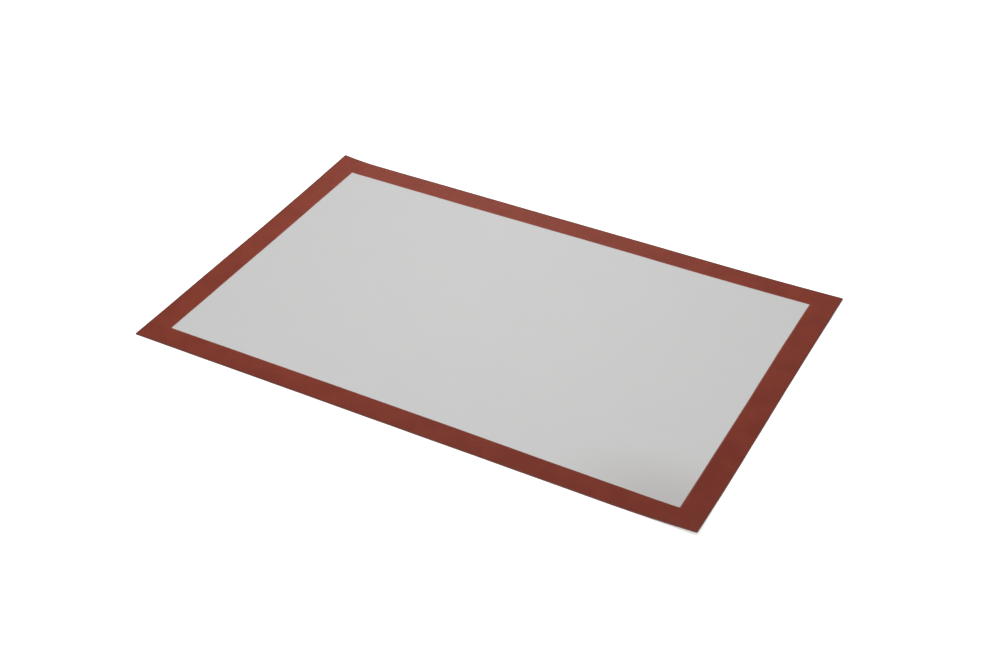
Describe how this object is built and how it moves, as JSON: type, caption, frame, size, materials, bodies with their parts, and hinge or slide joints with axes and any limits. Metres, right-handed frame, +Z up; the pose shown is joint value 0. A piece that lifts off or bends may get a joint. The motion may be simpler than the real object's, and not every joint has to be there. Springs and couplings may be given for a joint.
{
  "type": "silicone baking mat",
  "caption": "Flat rectangular non-stick baking mat: a glass mesh coated in pale grey silicone, with a brick-red border on both faces and a sealed edge.",
  "frame": {"origin": "middle of the plane that the mat lies on, at the underside of its back border", "axes": "+X along the mat's length, +Y across its width, +Z up out of the working face"},
  "size_m": [0.585, 0.385, 0.0008],
  "materials": {
    "pale_silicone": "satin",
    "glass_yarn": "woven yarn",
    "red_silicone": "satin",
    "seal_silicone": "satin"
  },
  "bodies": {
    "root": {"silicone_base_coat": "pale_silicone", "glass_weft": "glass_yarn", "glass_warp": "glass_yarn", "silicone_face_coat": "pale_silicone", "border_face_band": "red_silicone", "border_back_band": "red_silicone", "edge_seal": "seal_silicone"}
  },
  "joints": []
}
